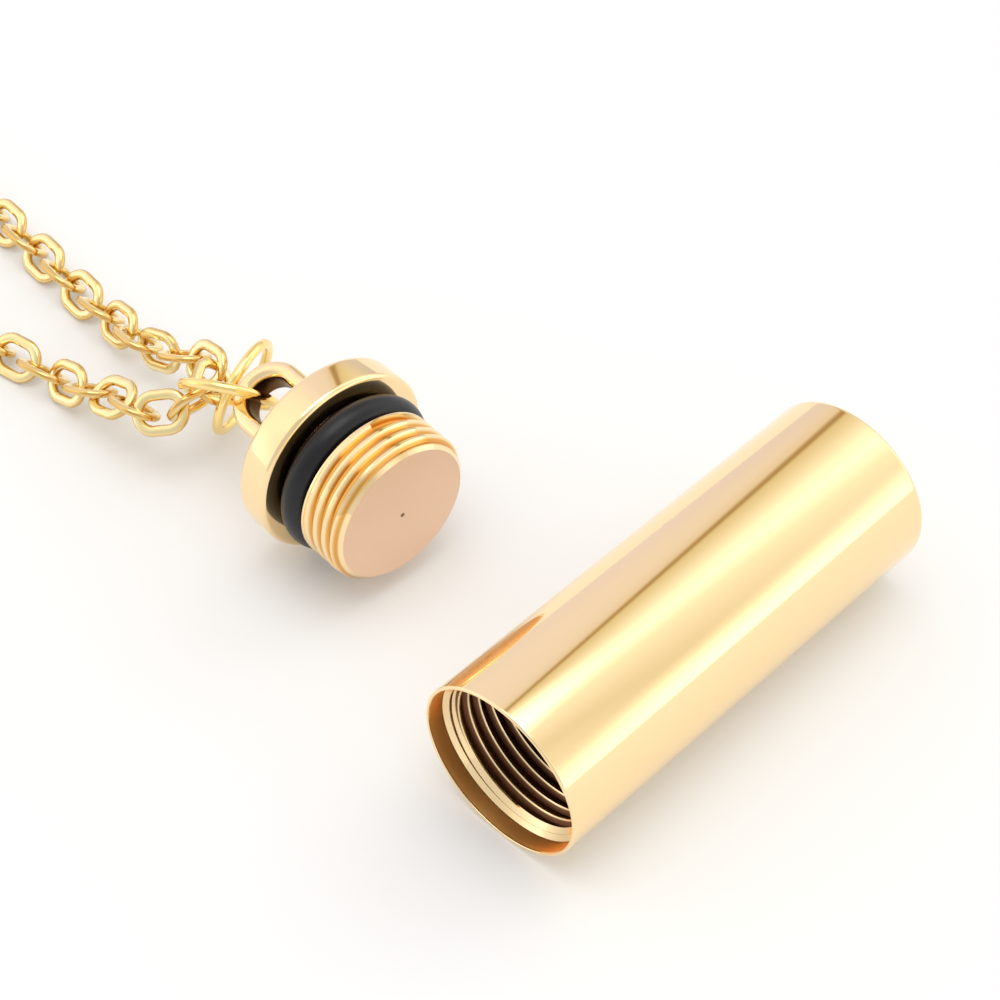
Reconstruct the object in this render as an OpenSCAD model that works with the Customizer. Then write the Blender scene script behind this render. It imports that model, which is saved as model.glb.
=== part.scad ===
// Keepsake urn pendant on a necklace, laid out on a table: a plain round tube with a threaded mouth,
// its screw cap taken off beside it with a sealing ring and an eye, two jump rings, and a cable chain
// in one closed loop.
// Millimetres, +Z up, table top at Z = 0, tube along +X with its mouth at the low end, loop towards +Y.

/* [Tube] */
// outer diameter of the tube
tube_d = 10; // [8:0.1:14]
// length of the tube from its mouth to its closed end
tube_len = 26.8; // [20:0.1:45]
// inner radius of the smooth seat just inside the mouth
seat_r = 4.8; // [3.6:0.05:6]
// depth of that smooth seat
seat_depth = 1; // [0.5:0.1:3]
// inner radius of the chamber
chamber_r = 4.2; // [2:0.05:5]
// thickness of the closed end
floor_t = 1.6; // [0.8:0.1:4]
// rounding of the closed end's edge
end_round = 0.35; // [0.1:0.05:1]
// rounding of the mouth's outer edge
mouth_round = 0.12; // [0.05:0.01:0.2]

/* [Thread] */
// pitch of the thread
thread_pitch = 0.7; // [0.4:0.05:1.2]
// height of the thread's ridges
thread_h = 0.28; // [0.1:0.02:0.5]
// number of ridges inside the tube
tube_turns = 6; // [3:1:10]
// number of ridges on the plug
plug_turns = 3; // [2:1:8]

/* [Cap] */
// radius of the cap's head
head_r = 5.44; // [4:0.02:8]
// thickness of the head
head_t = 2.13; // [1:0.01:5]
// radius of the plug over its thread
plug_r = 4.5; // [3:0.02:6]
// bevel at the plug's end
plug_bevel = 0.5; // [0.1:0.05:1]
// length of the plain collar between the plug's thread and its groove
collar = 0.28; // [0.1:0.02:1]
// width of the sealing ring's groove
groove_w = 2.04; // [1:0.02:4]
// rounding of the head's back edge
back_round = 0.45; // [0.1:0.05:1]
// rounding of the head's front edge
front_round = 0.28; // [0.1:0.02:0.6]

/* [Sealing ring] */
// section radius of the sealing ring
seal_r = 0.85; // [0.4:0.01:1.2]
// outer radius of the sealing ring
seal_out_r = 4.78; // [3:0.02:6]
// gap between the sealing ring and the bottom of its groove
seal_gap = 0.06; // [0.02:0.01:0.2]

/* [Eye] */
// half width of the eye
eye_r = 2.25; // [1.5:0.05:4]
// length of the eye behind the head
eye_len = 5.95; // [3:0.05:10]
// thickness of the eye
eye_t = 2; // [0.8:0.1:3]
// radius of the eye's hole
eye_hole_r = 1.25; // [0.8:0.05:2]
// turn of the eye about the cap's axis
eye_turn = 29; // [-90:1:90]

/* [Chain] */
// wire radius of a link
wire_r = 0.27; // [0.2:0.01:0.5]
// radius of a link's end bend at the middle of the wire
bend_r = 1; // [0.8:0.01:2]
// half length of a link's straight part
half_straight = 0.42; // [0.1:0.01:2]
// distance from one link to the next
link_pitch = 2.06; // [1.5:0.01:4]
// links on each side of the middle one that are drawn one by one
links_each_side = 16; // [8:1:18]
// half thickness of the plain run that stands for the rest of the chain
run_r = 1.1; // [0.8:0.05:1.6]

/* [Jump rings] */
// middle radius of the ring through the eye
eye_ring_r = 2.58; // [2:0.02:4]
// wire radius of the ring through the eye
eye_ring_wire = 0.3; // [0.2:0.01:0.5]
// middle radius of the spare ring
spare_ring_r = 2.72; // [2:0.02:4]
// wire radius of the spare ring
spare_ring_wire = 0.3; // [0.2:0.01:0.5]

/* [Clasp] */
// length of the clasp over its eyes
clasp_len = 12; // [8:0.5:20]
// thickness of the clasp's body
clasp_t = 2; // [1:0.1:3]
// half width of the clasp's body
clasp_half_w = 1.9; // [1.5:0.1:4]

/* [Hidden] */
$fn = 72;
tube_r = tube_d / 2;
run_sides = 8;
gap = 0.2;

// where things lie, before the whole is shifted over the middle of its box
tube_at = [-16.18, -15.53];
cap_at = [-7.83, -0.48];
cap_yaw = 85.5;
eye_ring_at = [-7.81, 13.16, 4.74];
eye_ring_turn = [54, 30];
spare_ring_at = [-6.06, 14.1, 3.38];
spare_ring_turn = [76, 108];

// the cap along its axis, from the plug's end face back to the eye
thread_start = plug_bevel;
thread_end = thread_start + plug_turns * thread_pitch;
groove_start = thread_end + collar;
head_start = groove_start + groove_w;
head_end = head_start + head_t;
groove_r = seal_out_r - 2 * seal_r - seal_gap;
eye_wall = eye_r - eye_hole_r;
eye_middle = head_end + eye_len - eye_r;
eye_web = 0.5;

// middle link and the turns of its neighbours: heading, rise, roll about the heading
middle_at = [-7.38, 15.02, 4.11];
middle_turn = [37, -9, 37];
ahead_turns = [
  [84, -14, -50],
  [99, -22, 30],
  [96, -17, -73],
  [83, -8, 33],
  [82, -12, -52],
  [84, -10, 44]];
behind_turns = [
  [-8, 4, -68],
  [-54, 16, 40],
  [-96, 15, -38],
  [-88, 18, 26],
  [-83, 21, -32],
  [-89, 18, 53]];
rest_h = 1;
ahead_heading = 83;
ahead_bend = 0.4;
behind_heading = -80;
behind_bend = -0.8;

// the plain run: right of the loop going out, and left of it going out
right_route = [[1, 72], [11, 98], [25, 123], [38, 149], [42, 176], [33, 200], [12, 214]];
left_route = [[-25, 72], [-38, 98], [-53, 123], [-66, 149], [-70, 176], [-61, 200], [-40, 214]];
clasp_at = [-14, 218];
rings_per_leg = 4;

function last(v) = v[len(v) - 1];
function flat(v) = [v[0], v[1]];
function heading(yaw, rise) = [cos(rise) * cos(yaw), cos(rise) * sin(yaw), sin(rise)];

// turn of link k: the table's near the ring, then level on the table with a slow bend
function turn_of(k) =
  k == 0 ? middle_turn :
  k > 0 && k <= len(ahead_turns) ? ahead_turns[k - 1] :
  k < 0 && -k <= len(behind_turns) ? behind_turns[-k - 1] :
  k > 0 ? [ahead_heading + (k - 7) * ahead_bend, 0, k % 2 == 0 ? 45 : -45] :
  [behind_heading - (k + 7) * behind_bend, 0, k % 2 == 0 ? 45 : -45];
function step_of(k) = link_pitch * heading(turn_of(k)[0], turn_of(k)[1]);
function spot_of(k) =
  k == 0 ? middle_at :
  k > 0 ? spot_of(k - 1) + (step_of(k - 1) + step_of(k)) / 2 :
  spot_of(k + 1) - (step_of(k + 1) + step_of(k)) / 2;
function lies(k) = k > len(ahead_turns) || -k > len(behind_turns);
function link_at(k) = lies(k) ? [spot_of(k)[0], spot_of(k)[1], rest_h] : spot_of(k);

// the run starts just past the last link's outer end, and ends just short of the clasp
tip = bend_r + half_straight + wire_r + gap;
right_start = flat(link_at(links_each_side) + tip * heading(turn_of(links_each_side)[0], 0));
left_start = flat(link_at(-links_each_side) - tip * heading(turn_of(-links_each_side)[0], 0));
right_end = [clasp_at[0] + clasp_len / 2 + gap, clasp_at[1]];
left_end = [clasp_at[0] - clasp_len / 2 - gap, clasp_at[1]];
right_points = concat([right_start], right_route, [right_end]);
left_points = concat([left_start], left_route, [left_end]);

// smooth curve through the route's points
function at(p, i) = i < 0 ? 2 * p[0] - p[1] : i >= len(p) ? 2 * last(p) - p[len(p) - 2] : p[i];
function curve(a, b, c, d, t) =
  0.5 * (2 * b + (c - a) * t + (2 * a - 5 * b + 4 * c - d) * t * t + (3 * b - a - 3 * c + d) * t * t * t);
function route(p) = concat(
  [for (i = [0:len(p) - 2], j = [0:rings_per_leg - 1])
    curve(at(p, i - 1), p[i], p[i + 1], at(p, i + 2), j / rings_per_leg)],
  [last(p)]);
function side_of(q, i) =
  let (d = q[min(i + 1, len(q) - 1)] - q[max(i - 1, 0)]) [d[1], -d[0]] / norm(d);

right_path = route(right_points);
left_path = route(left_points);

// shift that puts the middle of the box's floor at the origin
all_x = concat([for (q = right_path) q[0]], [for (q = left_path) q[0]]);
run_edge = run_r / cos(180 / run_sides);
low_x = min(all_x) - run_r;
high_x = max(all_x) + run_r;
low_y = tube_at[1] - tube_r;
high_y = clasp_at[1] + clasp_half_w;
shift = [-(low_x + high_x) / 2, -(low_y + high_y) / 2, 0];

// ring profile of a V thread: a ridge for each turn, its crest towards larger radii
function ridges(r, h, start, turns) =
  [for (i = [0:turns - 1]) each [
    [r - h, start + i * thread_pitch],
    [r, start + (i + 0.4) * thread_pitch],
    [r, start + (i + 0.6) * thread_pitch]]];

// a square corner to be cut off a profile so that its edge is round
module corner(x, y, r, sx, sy) {
  difference() {
    translate([x - (sx > 0 ? r : 0.5), y - (sy > 0 ? r : 0.5)]) square(r + 0.5);
    translate([x - sx * r, y - sy * r]) circle(r);
  }
}

// the tube's solid, its recess, thread and chamber
module tube() {
  lead_in = 0.45;
  crest = chamber_r + 0.06;
  thread_from = seat_depth + lead_in;
  thread_to = thread_from + tube_turns * thread_pitch;
  color("#e3b766")
  translate(shift + [tube_at[0], tube_at[1], tube_r]) rotate([0, 90, 0])
  rotate_extrude() difference() {
    square([tube_r, tube_len]);
    polygon(concat(
      [[0, -1], [seat_r, -1], [seat_r, seat_depth], [crest, thread_from]],
      ridges(crest + thread_h, thread_h, thread_from, tube_turns),
      [[crest, thread_to], [chamber_r, thread_to + 0.1]],
      [[chamber_r, tube_len - floor_t], [0, tube_len - floor_t]]));
    corner(tube_r, tube_len, end_round, 1, 1);
    corner(tube_r, 0, mouth_round, 1, -1);
  }
}

// places a shape that is drawn from the plug's end face up along +Z, with the cap lying on its head's rim
module on_cap_axis() {
  translate(shift + [cap_at[0], cap_at[1], head_r]) rotate([0, 90, cap_yaw]) children();
}

module cap_turned() {
  rotate_extrude() difference() {
    union() {
      polygon(concat(
        [[0, 0], [plug_r - plug_bevel, 0], [plug_r - thread_h, thread_start]],
        ridges(plug_r, thread_h, thread_start, plug_turns),
        [[plug_r - thread_h, thread_end], [plug_r, thread_end + 0.1], [plug_r, groove_start]],
        [[groove_r, groove_start], [groove_r, head_start], [0, head_start]]));
      translate([0, head_start]) square([head_r, head_t]);
    }
    corner(head_r, head_end, back_round, 1, 1);
    corner(head_r, head_start, front_round, 1, -1);
  }
}

// section of the eye's loop: a rectangle with round corners
module eye_section() {
  soft = 0.45;
  translate([eye_hole_r, -eye_t / 2]) {
    translate([soft, 0]) square([eye_wall - 2 * soft, eye_t]);
    translate([0, soft]) square([eye_wall, eye_t - 2 * soft]);
    for (x = [soft, eye_wall - soft], y = [soft, eye_t - soft]) translate([x, y]) circle(soft);
  }
}

module eye() {
  arm = eye_middle - head_end + 0.3;
  rotate([0, 0, -eye_turn]) translate([0, 0, eye_middle]) rotate([90, 0, 90]) {
    rotate_extrude(angle = 180) eye_section();
    for (m = [0, 1]) mirror([m, 0, 0]) rotate([90, 0, 0]) linear_extrude(arm) eye_section();
    translate([-eye_r + eye_wall / 2, -arm, -eye_t / 2 + 0.1])
      cube([2 * eye_r - eye_wall, arm - eye_hole_r - eye_web, eye_t - 0.2]);
  }
}

// head, plug and eye in one piece of metal, with the lathe centre's small mark in the end face
module cap() {
  mark_at = [0.1, 0, -0.01];
  mark_r = 0.14;
  color("#e0b060") on_cap_axis() difference() {
    union() {
      cap_turned();
      eye();
    }
    translate(mark_at) cylinder(h = mark_r, r1 = mark_r, r2 = 0.02);
  }
}

module sealing_ring() {
  color("#15151c") on_cap_axis() translate([0, 0, groove_start + groove_w / 2])
  rotate_extrude() translate([seal_out_r - seal_r, 0]) circle(seal_r);
}

module ring(r, wire, spot, turn) {
  translate(shift + spot) rotate([0, turn[0], turn[1]]) rotate_extrude() translate([r, 0]) circle(wire);
}

// jump ring through the cap's eye, with the chain passing through it
module eye_ring() {
  color("#e6b64a") ring(eye_ring_r, eye_ring_wire, eye_ring_at, eye_ring_turn);
}

// second jump ring, linked with the first and standing on the table
module spare_ring() {
  color("#e6b64a") ring(spare_ring_r, spare_ring_wire, spare_ring_at, spare_ring_turn);
}

module half_bend() {
  translate([half_straight, 0, 0]) rotate([0, 0, -90]) rotate_extrude(angle = 180)
    translate([bend_r, 0]) circle(wire_r);
}

module link() {
  half_bend();
  rotate([0, 0, 180]) half_bend();
  for (y = [-bend_r, bend_r]) translate([-half_straight, y, 0]) rotate([0, 90, 0])
    cylinder(h = 2 * half_straight, r = wire_r);
}

// the links near the pendant, each through the next, the middle ones lifted by the ring through the eye
module chain() {
  color("#eac05a") for (k = [-links_each_side:links_each_side])
    translate(shift + link_at(k)) rotate([0, -turn_of(k)[1], turn_of(k)[0]])
      rotate([turn_of(k)[2], 0, 0]) link();
}

// swept bar with flat sides, lying on the table along a path
module swept(path) {
  n = len(path);
  s = run_sides;
  points = [for (i = [0:n - 1], j = [0:s - 1])
    let (a = 360 * (j + 0.5) / s, w = side_of(path, i) * run_edge * cos(a))
      [path[i][0] + w[0], path[i][1] + w[1], run_r + run_edge * sin(a)]];
  around = [for (i = [0:n - 2], j = [0:s - 1])
    let (a = i * s + j, b = i * s + (j + 1) % s) [a, b, b + s, a + s]];
  start = [for (j = [s - 1:-1:0]) j];
  end = [for (j = [0:s - 1]) (n - 1) * s + j];
  translate(shift) polyhedron(points, concat([start], around, [end]), convexity = 10);
}

// the rest of the chain as a plain run of its real length, right and left of the clasp
module chain_run() {
  color("#eac05a") {
    swept(right_path);
    swept(left_path);
  }
}

// oval outline: a straight part with half a circle at each end
module oval(half, r) {
  square([2 * half, 2 * r], center = true);
  for (m = [-1, 1]) translate([m * half, 0]) circle(r);
}

// closed clasp: an oval body with an opening, and a small eye at each end
module clasp() {
  eye_out = 1.3;
  eye_wire = 0.3;
  slot_r = 0.8;
  body_half = clasp_len / 2 - 2 * eye_out + eye_wire;
  straight = body_half - clasp_half_w;
  color("#e6b64a") translate(shift + [clasp_at[0], clasp_at[1], clasp_t / 2]) {
    linear_extrude(clasp_t, center = true) difference() {
      oval(straight, clasp_half_w);
      oval(straight, slot_r);
    }
    for (m = [-1, 1]) translate([m * (clasp_len / 2 - eye_out), 0, 0])
      rotate_extrude() translate([eye_out - eye_wire, 0]) circle(eye_wire);
  }
}

tube();
cap();
sealing_ring();
eye_ring();
spare_ring();
chain();
chain_run();
clasp();
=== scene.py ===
from math import atan2, copysign, cos, pi, radians, sin

import bmesh
import bpy
import numpy as np
from mathutils import Matrix, Vector


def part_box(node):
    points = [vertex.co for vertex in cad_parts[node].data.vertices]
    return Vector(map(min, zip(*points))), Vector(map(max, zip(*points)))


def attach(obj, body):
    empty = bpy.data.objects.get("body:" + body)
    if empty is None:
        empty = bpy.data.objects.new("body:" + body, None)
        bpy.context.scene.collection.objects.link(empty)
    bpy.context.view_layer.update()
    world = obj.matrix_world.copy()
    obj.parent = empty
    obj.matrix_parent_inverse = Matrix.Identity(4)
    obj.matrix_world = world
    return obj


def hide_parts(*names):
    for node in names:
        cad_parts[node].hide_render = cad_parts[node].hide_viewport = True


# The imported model, and the places that the looks start from. Metres, +Z up, tube along +X.
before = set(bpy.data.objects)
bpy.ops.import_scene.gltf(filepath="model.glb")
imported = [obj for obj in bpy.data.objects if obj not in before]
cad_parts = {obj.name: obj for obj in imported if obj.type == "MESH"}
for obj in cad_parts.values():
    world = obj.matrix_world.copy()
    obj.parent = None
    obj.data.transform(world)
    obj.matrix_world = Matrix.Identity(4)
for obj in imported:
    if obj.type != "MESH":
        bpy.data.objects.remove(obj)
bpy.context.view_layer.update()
MM = 0.001


def middle_of(node):
    low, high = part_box(node)
    return (low + high) / 2


tube_low, tube_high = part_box("tube")
TUBE_R = (tube_high.z - tube_low.z) / 2
MOUTH = Vector((tube_low.x, middle_of("tube").y, TUBE_R))
TUBE_PLACE = Matrix.Translation(MOUTH) @ Matrix.Rotation(pi / 2, 4, "Y")

# Sizes of the thread, in millimetres as in the next groups.
PITCH = 0.7
THREAD_H = 0.28
# a ridge's foot reaches this far to each side, in pitches, and this deep into the wall
RIDGE_HALF_FOOT = 0.42
RIDGE_SUNK = 0.03

# Sizes of the tube, counted from its mouth.
TUBE_END = 26.8
END_ROUND = 0.35
MOUTH_ROUND = 0.12
LIP_ROUND = 0.06
SEAT_R = 4.8
SEAT_DEPTH = 1.0
LEAD_IN = 0.45
CHAMBER_R = 4.2
CHAMBER_STEP = 0.1
CREST_R = CHAMBER_R + 0.06
TUBE_TURNS = 6
FLOOR_T = 1.6

# Sizes of the cap, counted from the plug's end face.
PLUG_R = 4.5
BEVEL = 0.5
PLUG_TURNS = 3
THREAD_END = BEVEL + PLUG_TURNS * PITCH
COLLAR_STEP = 0.1
COLLAR_ROUND = 0.06
GROOVE_START = THREAD_END + 0.28
GROOVE_R = 3.02
GROOVE_W = 2.04
HEAD_R = 5.44
HEAD_START = GROOVE_START + GROOVE_W
HEAD_END = HEAD_START + 2.13
FRONT_ROUND = 0.28
BACK_ROUND = 0.45
# the mark in the end face, painted dark brown as the shade of a small drilled dimple: its place and the
# reach of its colour
MARK_AT = 0.1
MARK_R = 0.13
CAP_YAW = radians(85.5)

# Sizes of the cap's eye.
EYE_R = 2.25
EYE_LEN = 5.95
EYE_T = 2.0
EYE_HOLE_R = 1.25
EYE_SOFT = 0.45
EYE_SUNK = 0.3
EYE_TURN = radians(29)
EYE_MIDDLE = HEAD_END + EYE_LEN - EYE_R
WEB_T = EYE_T - 0.2

# Sizes of a link: half its flattened wire's width and thickness, its bend, and half its straight part.
HALF_BAND = 0.315
HALF_THICK = 0.22
BEND_R = 1.0
HALF_STRAIGHT = 0.42
LINK_PITCH = 2.06
# below 1 the wire's section comes closer to a rectangle than an ellipse does
SECTION_FULLNESS = 0.75

# How the far links lie: the height of their middles, and their roll to either side.
REST_H = 1.0
LINK_ROLL = radians(45)
# from the source's last link to the plain run's start, and from the clasp's middle to the link at its eye
LAST_LINK_TIP = 1.89
CLASP_LINK = 6.25
# the route of the chain's far part, from the pendant up to the clasp, counted from the clasp's middle
RIGHT_ROUTE = [(15, -146), (25, -120), (39, -95), (52, -69), (56, -42), (47, -18), (26, -4)]
LEFT_ROUTE = [(-11, -146), (-24, -120), (-39, -95), (-52, -69), (-56, -42), (-47, -18), (-26, -4)]

# The view: turn about the vertical, rise above the floor, distance, lens and the spot that it aims at.
VIEW_TURN = radians(-45.97)
VIEW_RISE = radians(47.47)
VIEW_DISTANCE = 146.6 * MM
LENS = 95.4
SENSOR = 36
AIM = MOUTH + Vector((16.18 * MM, 15.53 * MM, -TUBE_R))
RIGHT = Vector((cos(VIEW_TURN), sin(VIEW_TURN), 0))
AWAY = Vector((-sin(VIEW_TURN), cos(VIEW_TURN), 0))

# The studio's walls: degrees of turn from the view's right-hand side, anticlockwise, and the colour there.
HIGH_WALL = [
    (-180, (0.62, 0.6, 0.56)), (-165, (0.5, 0.49, 0.46)), (-140, (0.36, 0.35, 0.33)),
    (-60, (0.36, 0.35, 0.33)), (-35, (0.6, 0.6, 0.58)), (-12, (0.44, 0.42, 0.36)), (0, (0.5, 0.49, 0.46)),
    (14, (0.58, 0.57, 0.53)), (32, (0.78, 0.77, 0.76)), (50, (0.66, 0.65, 0.62)), (66, (0.5, 0.5, 0.46)),
    (84, (0.4, 0.36, 0.25)), (86, (0.22, 0.15, 0.07)), (88, (0.22, 0.15, 0.07)), (90, (0.42, 0.38, 0.34)),
    (96, (0.45, 0.43, 0.46)), (110, (0.46, 0.44, 0.5)), (150, (0.56, 0.55, 0.54)), (180, (0.62, 0.6, 0.56))]
LOW_WALL = [
    (-180, (0.75, 0.74, 0.72)), (-150, (0.4, 0.4, 0.4)), (-60, (0.4, 0.4, 0.4)), (-14, (0.95, 0.94, 0.9)),
    (20, (0.7, 0.7, 0.68)), (70, (0.34, 0.33, 0.34)), (105, (0.44, 0.42, 0.5)), (130, (0.46, 0.45, 0.46)),
    (180, (0.75, 0.74, 0.72))]
ROOF = (1.3, 1.3, 1.3, 1)
BRIGHTNESS = 2.0
# degrees above the floor over which the low wall gives way to the high one, and that one to the roof
WALL_CHANGE = (4, 30)
ROOF_CHANGE = (62, 74)

# Colours of the metal, the rubber and the floor.
GOLD = (1.0, 0.77, 0.44, 1)
# painted shade inside the tube: a deeper gold on the seat near the mouth, and dark brown further in
SEAT_PAINTED_SHADE = (0.95, 0.52, 0.18, 1)
CHAMBER_PAINTED_SHADE = (0.2, 0.095, 0.05, 1)
END_FACE_GOLD = (0.86, 0.62, 0.45, 1)
# painted shade in the roots of the plug's thread
ROOT_PAINTED_SHADE = (0.75, 0.38, 0.09, 1)
# painted shade of the small drilled dimple in the end face
MARK_PAINTED_SHADE = (0.25, 0.13, 0.06, 1)
# painted deep shade inside the eye's hole
HOLE_PAINTED_SHADE = (0.08, 0.035, 0.02, 1)
# painted shade along the edges of the links, where they meet
LINK_EDGE_PAINTED_SHADE = (0.74, 0.46, 0.14, 1)
CHAIN_GOLDS = ((1.0, 0.82, 0.4, 1), (1.0, 0.88, 0.52, 1))
RING_GOLDS = ((1.0, 0.72, 0.26, 1), (1.0, 0.8, 0.36, 1))
RUBBER_BLACKS = ((0.003, 0.003, 0.005, 1), (0.007, 0.006, 0.01, 1))
FLOOR_PALE = (0.76, 0.76, 0.765, 1)
# a bound in millimetres below any radius and height, for a band that is open on its low side
BELOW_ALL = -1
BUMP_DEPTH = 0.01 * MM


class Value:
    """A shader value. Arithmetic on it adds Math nodes."""

    def __init__(self, shader, socket):
        self.shader = shader
        self.socket = socket

    def math(self, operation, *terms):
        return self.shader.add("ShaderNodeMath", {"operation": operation}, dict(enumerate(terms)))

    def __add__(self, other):
        return self.math("ADD", self, other)

    def __radd__(self, other):
        return self.math("ADD", other, self)

    def __sub__(self, other):
        return self.math("SUBTRACT", self, other)

    def __rsub__(self, other):
        return self.math("SUBTRACT", other, self)

    def __mul__(self, other):
        return self.math("MULTIPLY", self, other)

    def __rmul__(self, other):
        return self.math("MULTIPLY", other, self)

    def __truediv__(self, other):
        return self.math("DIVIDE", self, other)

    def sqrt(self):
        return self.math("SQRT", self)

    def size(self):
        return self.math("ABSOLUTE", self)


class Shader:
    """The nodes of one material or of the world."""

    def __init__(self, tree):
        self.tree = tree
        tree.nodes.clear()

    def add(self, kind, settings=None, inputs=None, output=0):
        node = self.tree.nodes.new(kind)
        for name, value in (settings or {}).items():
            if name == "stops":
                self.set_stops(node.color_ramp, value)
            else:
                setattr(node, name, value)
        for name, value in (inputs or {}).items():
            if isinstance(value, Value):
                self.tree.links.new(value.socket, node.inputs[name])
            else:
                node.inputs[name].default_value = value
        return Value(self, node.outputs[output]) if len(node.outputs) else node

    @staticmethod
    def set_stops(ramp, stops):
        while len(ramp.elements) > 1:
            ramp.elements.remove(ramp.elements[-1])
        for index, (place, colour) in enumerate(stops):
            stop = ramp.elements[0] if index == 0 else ramp.elements.new(place)
            stop.position = place
            stop.color = (*colour, 1)

    def ramp(self, value, stops):
        """Colour by a value: each stop is (value, colour), from the lowest value to the highest."""
        low, high = stops[0][0], stops[-1][0]
        place = (value - low) / (high - low)
        stops = [((v - low) / (high - low), c) for v, c in stops]
        return self.add("ShaderNodeValToRGB", {"stops": stops}, {"Fac": place})

    def step(self, value, low, high):
        """0 at low, 1 at high, smooth between."""
        return self.add("ShaderNodeMapRange", {"interpolation_type": "SMOOTHSTEP"},
                        {"Value": value, "From Min": low, "From Max": high})

    def mix(self, factor, a, b):
        return self.add("ShaderNodeMix", {"data_type": "RGBA"}, {0: factor, 6: a, 7: b}, output=2)

    def dot(self, vector, axis):
        return self.add("ShaderNodeVectorMath", {"operation": "DOT_PRODUCT"}, {0: vector, 1: axis}, output=1)


def camera():
    data = bpy.data.cameras.new("camera")
    data.lens = LENS
    data.sensor_width = SENSOR
    data.clip_start = 0.01
    data.clip_end = 10
    view = bpy.data.objects.new("camera", data)
    bpy.context.collection.objects.link(view)
    place = AIM - AWAY * cos(VIEW_RISE) * VIEW_DISTANCE + Vector((0, 0, sin(VIEW_RISE) * VIEW_DISTANCE))
    turn = (AIM - place).to_track_quat("-Z", "Y").to_matrix().to_4x4()
    view.matrix_world = Matrix.Translation(place) @ turn
    bpy.context.scene.camera = view


def studio():
    """Soft light from all round: a bright roof over walls that are darker on the camera's side, brightest
    low down on the right, and have one narrow dark strip high up straight behind the object."""
    world = bpy.data.worlds.new("studio")
    bpy.context.scene.world = world
    world.use_nodes = True
    sky = Shader(world.node_tree)
    ray = sky.add("ShaderNodeTexCoord", output="Generated")
    up = sky.dot(ray, (0, 0, 1))
    right = sky.dot(ray, RIGHT)
    away = sky.dot(ray, AWAY)
    degrees = 180 / pi
    rise = up.math("ARCSINE", up) * degrees
    turn = away.math("ARCTAN2", away, right) * degrees
    wall = sky.mix(sky.step(rise, *WALL_CHANGE), sky.ramp(turn, LOW_WALL), sky.ramp(turn, HIGH_WALL))
    light = sky.mix(sky.step(rise, *ROOF_CHANGE), wall, ROOF)
    sky.add("ShaderNodeOutputWorld", None, {
        "Surface": sky.add("ShaderNodeBackground", None, {"Color": light, "Strength": BRIGHTNESS})})


def material(name):
    made = bpy.data.materials.new(name)
    made.use_nodes = True
    return made, Shader(made.node_tree)


def finish_material(shader, **sockets):
    """The surface, with a socket's spaces written as underscores."""
    inputs = {name.replace("_", " "): value for name, value in sockets.items()}
    surface = shader.add("ShaderNodeBsdfPrincipled", None, inputs)
    shader.add("ShaderNodeOutputMaterial", None, {"Surface": surface})


def speckle(shader, spot, scale):
    """Soft blotches from 0 to 1, about one in 1/scale metres."""
    return shader.add("ShaderNodeTexNoise", None, {"Vector": spot, "Scale": scale, "Detail": 3.0})


def rings(shader, distance, scale):
    """Uneven fine lines that follow one distance only, as a lathe leaves them."""
    return shader.add("ShaderNodeTexNoise", {"noise_dimensions": "1D"},
                      {"W": distance, "Scale": scale, "Detail": 2.0})


def bump(shader, height, strength):
    return shader.add("ShaderNodeBump", None,
                      {"Height": height, "Strength": strength, "Distance": BUMP_DEPTH})


def lathe(shader, place):
    """A point's place on a turned piece: two ways across, along from the end, and the radius. Metres."""
    spot = shader.add("ShaderNodeTexCoord", output="Object")
    from_end = shader.add("ShaderNodeVectorMath", {"operation": "SUBTRACT"}, {0: spot, 1: place.translation})
    x, y, z = (shader.dot(from_end, place.col[axis].xyz) for axis in range(3))
    return spot, x, y, z, (x * x + y * y).sqrt()


def between(shader, value, low, high, soft):
    """1 from low to high, in millimetres, with soft edges."""
    return (shader.step(value, (low - soft) * MM, (low + soft) * MM)
            * (1 - shader.step(value, (high - soft) * MM, (high + soft) * MM)))


def plate_roughness(shader, spot):
    """Polished plate, a little uneven."""
    return 0.05 + 0.05 * speckle(shader, spot, 400)


def turning_lines(shader, along):
    """Fine lines round a turned piece."""
    return rings(shader, along, 5000)


def tube_gold():
    """Mirror-polished plate outside. Inside it is rougher, with painted shade: the seat a deeper gold and
    the rest dark brown, but for the lead-in and the thread's crests."""
    made, shader = material("tube_gold")
    spot, _, _, z, radius = lathe(shader, TUBE_PLACE)
    inside = (between(shader, radius, BELOW_ALL, SEAT_R + 1.5 * LIP_ROUND, soft=0.02)
              * between(shader, z, 0.1, TUBE_END - 0.5, soft=0.05))
    lead_in = between(shader, z, SEAT_DEPTH - 0.02, SEAT_DEPTH + LEAD_IN + 0.05, soft=0.02)
    crest = between(shader, radius, CREST_R - 0.03, CREST_R + 0.06, soft=0.03)
    # inside, but for the lead-in and the crests: rougher, and with painted shade in its colour
    dull_painted_shade = inside * (1 - lead_in) * (1 - crest)
    seat = between(shader, z, BELOW_ALL, SEAT_DEPTH, soft=0.1)
    finish_material(
        shader,
        # painted shade: the seat a deeper gold, the rest inside dark brown
        Base_Color=shader.mix(dull_painted_shade, GOLD, shader.mix(seat, CHAMBER_PAINTED_SHADE, SEAT_PAINTED_SHADE)),
        Metallic=1.0,
        Roughness=plate_roughness(shader, spot) + inside * 0.08 + dull_painted_shade * 0.2,
        Normal=bump(shader, turning_lines(shader, z), 0.02))
    return made


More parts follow.
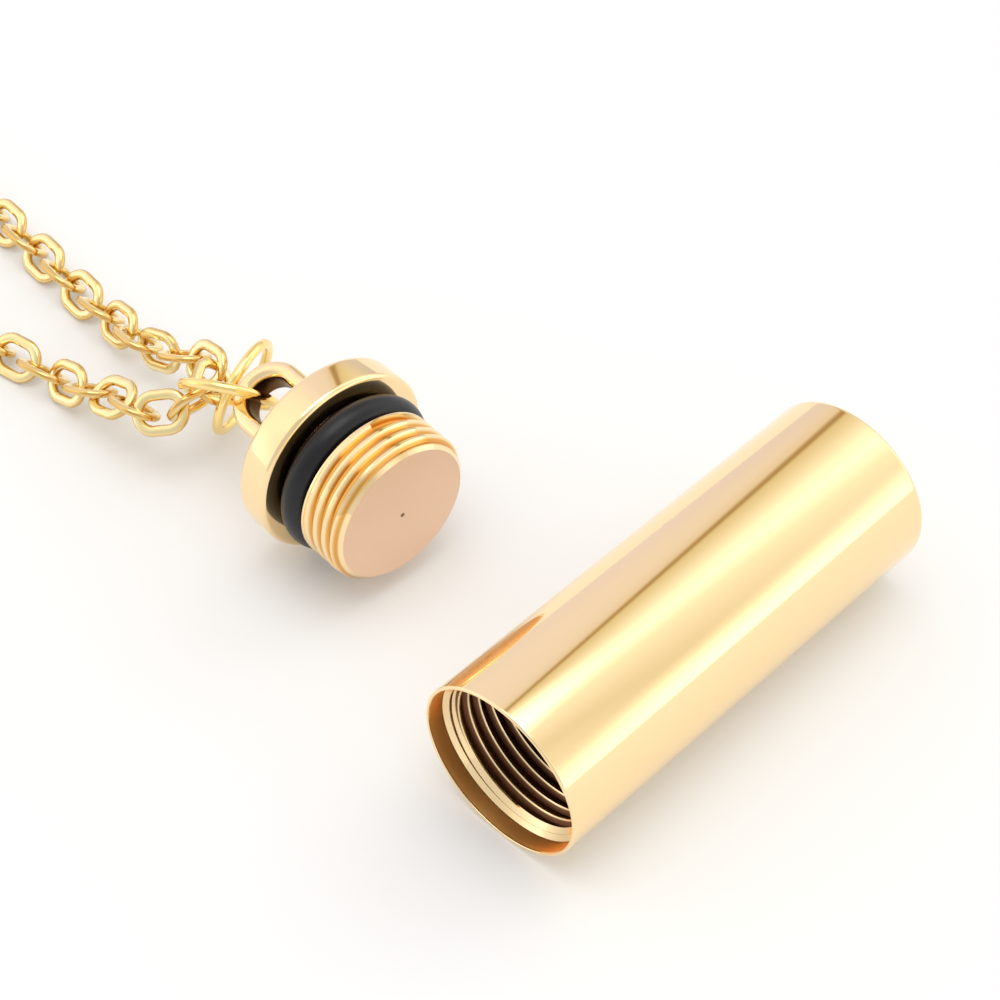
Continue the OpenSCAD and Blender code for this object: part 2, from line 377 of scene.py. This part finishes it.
def cap_gold():
    """Polished plate. The end face is satin with the lathe's lines and a small mark near its middle, painted
    dark as the shade of a drilled dimple; painted shade also deepens the thread's roots and darkens the
    eye's hole inside."""
    made, shader = material("cap_gold")
    spot, x, y, z, radius = lathe(shader, cap_place())
    face = (between(shader, z, BELOW_ALL, 0.02, soft=0.01)
            * between(shader, radius, BELOW_ALL, PLUG_R - BEVEL, soft=0.015))
    off_mark = x - MARK_AT * MM
    mark = between(shader, (off_mark * off_mark + y * y).sqrt(), BELOW_ALL, MARK_R, soft=0.03)
    # the thread's roots, which get painted shade
    roots = (between(shader, z, 0.2, THREAD_END + 0.05, soft=0.05)
             * between(shader, radius, 3, PLUG_R - 0.12, soft=0.08))
    through = (x * cos(EYE_TURN) - y * sin(EYE_TURN)).size()
    across = x * sin(EYE_TURN) + y * cos(EYE_TURN)
    up = z - EYE_MIDDLE * MM
    # the inner wall of the eye's hole, which gets painted shade
    hole = (between(shader, through, BELOW_ALL, EYE_T / 2 - 0.25, soft=0.15)
            * between(shader, (across * across + up * up).sqrt(), BELOW_ALL, EYE_HOLE_R + 0.55, soft=0.05))
    lines = rings(shader, radius, 7000)
    tone = shader.mix(face, GOLD, END_FACE_GOLD)
    # painted shade: the thread's roots a deeper colour
    tone = shader.mix(roots, tone, ROOT_PAINTED_SHADE)
    # painted shade: the drilled dimple's mark on the end face
    tone = shader.mix(face * mark, tone, MARK_PAINTED_SHADE)
    # painted shade: the eye's hole near black-brown inside
    tone = shader.mix(hole, tone, HOLE_PAINTED_SHADE)
    satin = face * (0.24 + 0.14 * lines)
    finish_material(
        shader,
        Base_Color=tone,
        Metallic=1.0,
        Roughness=plate_roughness(shader, spot) + satin + hole * 0.25 + roots * 0.1,
        Normal=bump(shader, face * lines + 0.05 * turning_lines(shader, z), 0.25))
    return made


def wire_gold(name, golds):
    """Polished wire, a little uneven from drawing and bending. On links painted shade makes it deeper in
    colour along the edges, which the mesh's own edge values mark; other wire has none of these values."""
    made, shader = material(name)
    spot = shader.add("ShaderNodeTexCoord", output="Object")
    uneven = speckle(shader, spot, 900)
    # the edge values say where the links get painted shade
    edge = shader.add("ShaderNodeAttribute", {"attribute_name": "edge"}, output="Fac")
    finish_material(
        shader,
        # painted shade: the links' edges a deeper gold
        Base_Color=shader.mix(edge, shader.mix(uneven, *golds), LINK_EDGE_PAINTED_SHADE),
        Metallic=1.0,
        Roughness=0.08 + 0.1 * uneven,
        Normal=bump(shader, speckle(shader, spot, 3000), 0.2))
    return made


def rubber():
    made, shader = material("black_rubber")
    spot = shader.add("ShaderNodeTexCoord", output="Object")
    grain = speckle(shader, spot, 5000)
    finish_material(
        shader,
        Base_Color=shader.mix(grain, *RUBBER_BLACKS),
        Specular_IOR_Level=0.4,
        Roughness=0.28 + 0.1 * grain,
        Normal=bump(shader, grain, 0.3))
    return made


def floor():
    made, shader = material("pale_floor")
    finish_material(
        shader,
        Base_Color=FLOOR_PALE,
        Roughness=0.6,
        Specular_IOR_Level=0.2,
        Emission_Color=(1, 1, 1, 1),
        Emission_Strength=0.12)
    mesh = bpy.data.meshes.new("floor")
    shape = bmesh.new()
    bmesh.ops.create_grid(shape, x_segments=1, y_segments=1, size=4)
    shape.to_mesh(mesh)
    shape.free()
    ground = bpy.data.objects.new("floor", mesh)
    bpy.context.collection.objects.link(ground)
    ground.data.materials.append(made)


def dress(node, finish):
    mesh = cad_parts[node].data
    mesh.materials.clear()
    mesh.materials.append(finish)


def new_piece(name, shape, place, node, finish, sharp=30):
    """The built shape as an object, moved to its place; it stands for a node of the source."""
    bmesh.ops.remove_doubles(shape, verts=shape.verts, dist=1e-7)
    bmesh.ops.dissolve_degenerate(shape, edges=shape.edges, dist=1e-8)
    bmesh.ops.transform(shape, matrix=place, verts=shape.verts)
    bmesh.ops.recalc_face_normals(shape, faces=shape.faces)
    for face in shape.faces:
        face.smooth = True
    mesh = bpy.data.meshes.new(name)
    shape.to_mesh(mesh)
    shape.free()
    mesh.set_sharp_from_angle(angle=radians(sharp))
    mesh.materials.append(finish)
    piece = bpy.data.objects.new(name, mesh)
    bpy.context.collection.objects.link(piece)
    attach(piece, "root")
    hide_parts(node)


def arc(middle, radius, start, end, count=8):
    """Points of an arc in a profile, from one angle to the other in degrees."""
    angles = [radians(start + (end - start) * i / count) for i in range(count + 1)]
    return [(middle[0] + radius * cos(a), middle[1] + radius * sin(a)) for a in angles]


def turned(shape, profile, steps=128):
    """Spin a profile of radii and heights, in millimetres, round Z."""
    verts = [shape.verts.new((r * MM, 0, z * MM)) for r, z in profile]
    edges = [shape.edges.new(pair) for pair in zip(verts, verts[1:])]
    bmesh.ops.spin(shape, geom=verts + edges, axis=(0, 0, 1), angle=2 * pi, steps=steps, use_merge=True)


def thread(shape, foot, crest, half_crest, start, end, steps=72):
    """A ridge swept along a helix round Z, from its foot's radius to its crest's. Half the crest's width is
    in pitches. Its verts come back for trimming."""
    before = set(shape.verts)
    section = [(foot, -RIDGE_HALF_FOOT), (crest, -half_crest), (crest, half_crest), (foot, RIDGE_HALF_FOOT)]
    verts = [shape.verts.new((r * MM, 0, (z * PITCH + start) * MM)) for r, z in section]
    face = shape.faces.new(verts)
    turns = (end - start) / PITCH
    bmesh.ops.spin(shape, geom=[*verts, *face.edges, face], axis=(0, 0, 1), angle=2 * pi * turns,
                   steps=int(turns * steps), dvec=(0, 0, PITCH * MM / steps))
    return [vert for vert in shape.verts if vert not in before]


def at_radius(vert, radius):
    across = Vector((vert.co.x, vert.co.y)).normalized() * radius
    vert.co.x, vert.co.y = across.x, across.y


def tube(finish):
    """The turned wall, then the thread, trimmed so that it runs out in the lead-in's cone."""
    shape = bmesh.new()
    root = CREST_R + THREAD_H
    slope = (SEAT_R - CREST_R) / LEAD_IN
    thread_end = SEAT_DEPTH + LEAD_IN + TUBE_TURNS * PITCH
    r = TUBE_R / MM
    turned(shape, [
        (0, TUBE_END),
        *arc((r - END_ROUND, TUBE_END - END_ROUND), END_ROUND, 90, 0),
        *arc((r - MOUTH_ROUND, MOUTH_ROUND), MOUTH_ROUND, 0, -90),
        *arc((SEAT_R + LIP_ROUND, LIP_ROUND), LIP_ROUND, -90, -180, 4),
        (SEAT_R, SEAT_DEPTH),
        (root, SEAT_DEPTH + (SEAT_R - root) / slope),
        (root, thread_end),
        (CREST_R, thread_end),
        (CHAMBER_R, thread_end + CHAMBER_STEP),
        (CHAMBER_R, TUBE_END - FLOOR_T),
        (0, TUBE_END - FLOOR_T)])
    squeezed = 0.02
    into_wall = 0.02
    for vert in thread(shape, root + RIDGE_SUNK, CREST_R, 0.06, SEAT_DEPTH - 0.3 * PITCH, thread_end + 0.2):
        height = vert.co.z / MM - SEAT_DEPTH
        if height < 0:
            vert.co.z = (SEAT_DEPTH + height * squeezed) * MM
        radius = Vector(vert.co.xy).length / MM
        cone = min(SEAT_R - height * slope, SEAT_R) + into_wall
        at_radius(vert, max(radius, cone) * MM)
    new_piece("tube_body", shape, TUBE_PLACE, "tube", finish)


def cap_place():
    """Middle of the plug's end face, with the cap's axis as its Z, found from the sealing ring's box."""
    along = Vector((cos(CAP_YAW), sin(CAP_YAW), 0))
    start = middle_of("sealing_ring") - along * (GROOVE_START + GROOVE_W / 2) * MM
    return Matrix.Translation(start) @ Matrix.Rotation(CAP_YAW, 4, "Z") @ Matrix.Rotation(pi / 2, 4, "Y")


def cap(finish):
    """The turned plug and head, the thread, trimmed to the bevel and the end face, and the eye."""
    shape = bmesh.new()
    core = PLUG_R - THREAD_H
    turned(shape, [
        (0, 0),
        (PLUG_R - BEVEL, 0),
        (core, BEVEL - THREAD_H),
        (core, THREAD_END),
        (PLUG_R, THREAD_END + COLLAR_STEP),
        *arc((PLUG_R - COLLAR_ROUND, GROOVE_START - COLLAR_ROUND), COLLAR_ROUND, 0, 90, 4),
        (GROOVE_R, GROOVE_START),
        (GROOVE_R, HEAD_START),
        *arc((HEAD_R - FRONT_ROUND, HEAD_START + FRONT_ROUND), FRONT_ROUND, -90, 0),
        *arc((HEAD_R - BACK_ROUND, HEAD_END - BACK_ROUND), BACK_ROUND, 0, 90),
        (0, HEAD_END)])
    top = PLUG_R - 0.01
    for vert in thread(shape, core - RIDGE_SUNK, top, 0.1, 0.35 * PITCH, THREAD_END + COLLAR_STEP):
        radius = Vector(vert.co.xy).length / MM
        height = vert.co.z / MM
        at_radius(vert, min(radius, top - BEVEL + max(height, 0)) * MM)
        vert.co.z = min(max(height, 0.01), THREAD_END + 0.2) * MM
    eye(shape)
    new_piece("cap_body", shape, cap_place(), "cap", finish)


def eye(shape):
    """The loop behind the head: half a turn of a soft-cornered bar, its two arms and the web below."""
    arm = EYE_MIDDLE - HEAD_END + EYE_SUNK
    out = EYE_R - EYE_SOFT
    inner = EYE_HOLE_R + EYE_SOFT
    side = EYE_T / 2 - EYE_SOFT
    bar = [*arc((out, side), EYE_SOFT, 90, 0, 5), *arc((out, -side), EYE_SOFT, 0, -90, 5),
           *arc((inner, -side), EYE_SOFT, -90, -180, 5), *arc((inner, side), EYE_SOFT, 180, 90, 5)]
    before = set(shape.verts)
    verts = [shape.verts.new((z * MM, y * MM, 0)) for y, z in bar]
    first = shape.faces.new(verts)
    spun = bmesh.ops.spin(shape, geom=[*verts, *first.edges, first], axis=(1, 0, 0), angle=pi, steps=36)
    last = [item for item in spun["geom_last"] if isinstance(item, bmesh.types.BMFace)]
    feet = bmesh.ops.extrude_discrete_faces(shape, faces=[first, *last])["faces"]
    bmesh.ops.translate(shape, vec=(0, 0, -arm * MM), verts=[vert for face in feet for vert in face.verts])
    web_top = -EYE_HOLE_R
    size = Vector((WEB_T, EYE_R + EYE_HOLE_R, arm + web_top)) * MM
    spot = Matrix.Translation((0, 0, (web_top - arm) / 2 * MM))
    bmesh.ops.create_cube(shape, size=1, matrix=spot @ Matrix.Diagonal((*size, 1)))
    place = Matrix.Rotation(-EYE_TURN, 4, "Z") @ Matrix.Translation((0, 0, EYE_MIDDLE * MM))
    bmesh.ops.transform(shape, matrix=place, verts=[vert for vert in shape.verts if vert not in before])


def link_mesh(sides, steps):
    """One link lying flat: a ring of flattened wire, drawn out to its length."""
    shape = bmesh.new()
    section = (Matrix.Rotation(pi / steps, 4, "Z") @ Matrix.Translation((BEND_R * MM, 0, 0))
               @ Matrix.Rotation(pi / 2, 4, "X") @ Matrix.Diagonal((HALF_BAND * MM, HALF_THICK * MM, 1, 1)))
    bmesh.ops.create_circle(shape, segments=sides, radius=1)
    # each vert's edge value is how much painted shade it gets, most at the band's two rims
    edge = shape.verts.layers.float.new("edge")
    for vert in shape.verts:
        angle = atan2(vert.co.y, vert.co.x)
        vert[edge] = cos(angle) ** 2
        vert.co.x = copysign(abs(cos(angle)) ** SECTION_FULLNESS, vert.co.x)
        vert.co.y = copysign(abs(sin(angle)) ** SECTION_FULLNESS, vert.co.y)
    bmesh.ops.transform(shape, matrix=section, verts=shape.verts)
    bmesh.ops.spin(shape, geom=[*shape.verts, *shape.edges], axis=(0, 0, 1), angle=2 * pi, steps=steps,
                   use_merge=True)
    for vert in shape.verts:
        vert.co.x += HALF_STRAIGHT * MM * (1 if vert.co.x > 0 else -1)
    mesh = bpy.data.meshes.new("link")
    shape.to_mesh(mesh)
    shape.free()
    return mesh


def near_places():
    """Where each link of the source lies, from the box and the main directions of its own points."""
    shape = bmesh.new()
    shape.from_mesh(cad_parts["chain"].data)
    bmesh.ops.remove_doubles(shape, verts=shape.verts, dist=1e-6)
    seen = set()
    places = []
    for first in shape.verts:
        if first in seen:
            continue
        seen.add(first)
        link = [first]
        for vert in link:
            for edge in vert.link_edges:
                other = edge.other_vert(vert)
                if other not in seen:
                    seen.add(other)
                    link.append(other)
        points = np.array([vert.co for vert in link])
        middle = Vector((points.max(axis=0) + points.min(axis=0)) / 2)
        directions = np.linalg.eigh(np.cov(points.T))[1]
        flat, along = Vector(directions[:, 0]), Vector(directions[:, 2])
        turn = Matrix((along, flat.cross(along), flat)).transposed()
        places.append(Matrix.Translation(middle) @ turn.to_4x4())
    shape.free()
    return places


def links(name, places, sides, steps, node, finish):
    link = link_mesh(sides, steps)
    shape = bmesh.new()
    for place in places:
        before = len(shape.verts)
        shape.from_mesh(link)
        shape.verts.ensure_lookup_table()
        bmesh.ops.transform(shape, matrix=place, verts=shape.verts[before:])
    bpy.data.meshes.remove(link)
    new_piece(name, shape, Matrix.Identity(4), node, finish, sharp=80)


def run_start(side):
    """Middle of the end face where the plain run starts, right (1) or left (-1) of the pendant's chain."""
    near_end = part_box("chain")[1].y + 3 * MM
    split = middle_of("chain").x
    spots = [vert.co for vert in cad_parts["chain_run"].data.vertices
             if (vert.co.x - split) * side > 0 and vert.co.y < near_end]
    lowest = min(spot.y for spot in spots)
    face = [spot for spot in spots if spot.y < lowest + 0.5 * MM]
    return sum(face, Vector()) / len(face)


def curve(points, steps=60):
    """Dense points of a smooth curve through the given ones."""
    padded = [2 * points[0] - points[1], *points, 2 * points[-1] - points[-2]]
    dense = []
    for a, b, c, d in zip(padded, padded[1:], padded[2:], padded[3:]):
        for t in (step / steps for step in range(steps)):
            dense.append((2 * b + (c - a) * t + (2 * a - 5 * b + 4 * c - d) * t ** 2
                          + (3 * b - a - 3 * c + d) * t ** 3) / 2)
    return [*dense, points[-1]]


def link_places(side):
    """Where each link lies, from the one after the source's last up to the one at the clasp's eye."""
    clasp = middle_of("clasp")
    route = RIGHT_ROUTE if side > 0 else LEFT_ROUTE
    points = [run_start(side), *(clasp + Vector((x, y, 0)) * MM for x, y in route),
              clasp + Vector((side * CLASP_LINK * MM, 0, 0))]
    path = curve([Vector((point.x, point.y, REST_H * MM)) for point in points])
    lengths = [0]
    for a, b in zip(path, path[1:]):
        lengths.append(lengths[-1] + (b - a).length)
    first = (LINK_PITCH - LAST_LINK_TIP) * MM
    count = round((lengths[-1] - first) / (LINK_PITCH * MM))
    places = []
    for index in range(count + 1):
        wanted = first + (lengths[-1] - first) * index / count
        after = next((i for i, length in enumerate(lengths) if length > wanted), len(path) - 1)
        a, b = path[after - 1], path[after]
        spot = a.lerp(b, (wanted - lengths[after - 1]) / (lengths[after] - lengths[after - 1]))
        along = b - a if index < count else Vector((-side, 0, 0))
        roll = LINK_ROLL * side * (-1 if index % 2 == 0 else 1)
        places.append(Matrix.Translation(spot) @ Matrix.Rotation(atan2(along.y, along.x), 4, "Z")
                      @ Matrix.Rotation(roll, 4, "X"))
    return places


camera()
studio()
floor()
wire = wire_gold("chain_gold", CHAIN_GOLDS)
ring_wire = wire_gold("ring_gold", RING_GOLDS)
tube(tube_gold())
cap(cap_gold())
links("near_chain", near_places(), sides=12, steps=28, node="chain", finish=wire)
links("far_chain", [*link_places(1), *link_places(-1)], sides=6, steps=12, node="chain_run", finish=wire)
for node in ("eye_ring", "spare_ring", "clasp"):
    dress(node, ring_wire)
dress("sealing_ring", rubber())

bpy.context.scene.view_settings.view_transform = "Standard"
